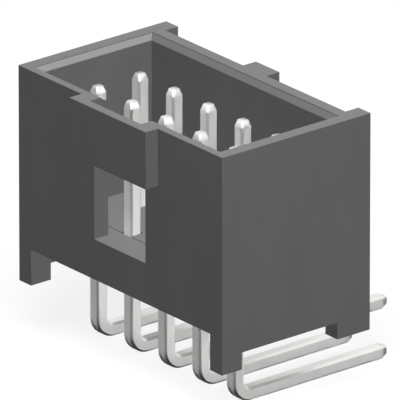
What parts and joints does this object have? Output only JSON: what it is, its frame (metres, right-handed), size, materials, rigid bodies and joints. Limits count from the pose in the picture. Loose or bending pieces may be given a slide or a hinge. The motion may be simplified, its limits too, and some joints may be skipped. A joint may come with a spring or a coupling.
{
  "type": "shrouded pin header",
  "caption": "Right-angle board header: square contacts in two rows inside an open-topped plastic shroud with a centre key slot and latch window.",
  "frame": {"origin": "middle of the bounding box, at the height of the lowest tails' undersides", "axes": "+X along the rows of contacts, +Y towards the circuit board, +Z out of the mating opening"},
  "size_m": [0.0152, 0.0126, 0.0138],
  "materials": {
    "housing_plastic": "matte",
    "contact_metal": "tin plated"
  },
  "bodies": {
    "root": {"housing": "housing_plastic", "front_contact_1": "contact_metal", "front_contact_2": "contact_metal", "front_contact_3": "contact_metal", "front_contact_4": "contact_metal", "front_contact_5": "contact_metal", "back_contact_1": "contact_metal", "back_contact_2": "contact_metal", "back_contact_3": "contact_metal", "back_contact_4": "contact_metal", "back_contact_5": "contact_metal"}
  },
  "joints": []
}
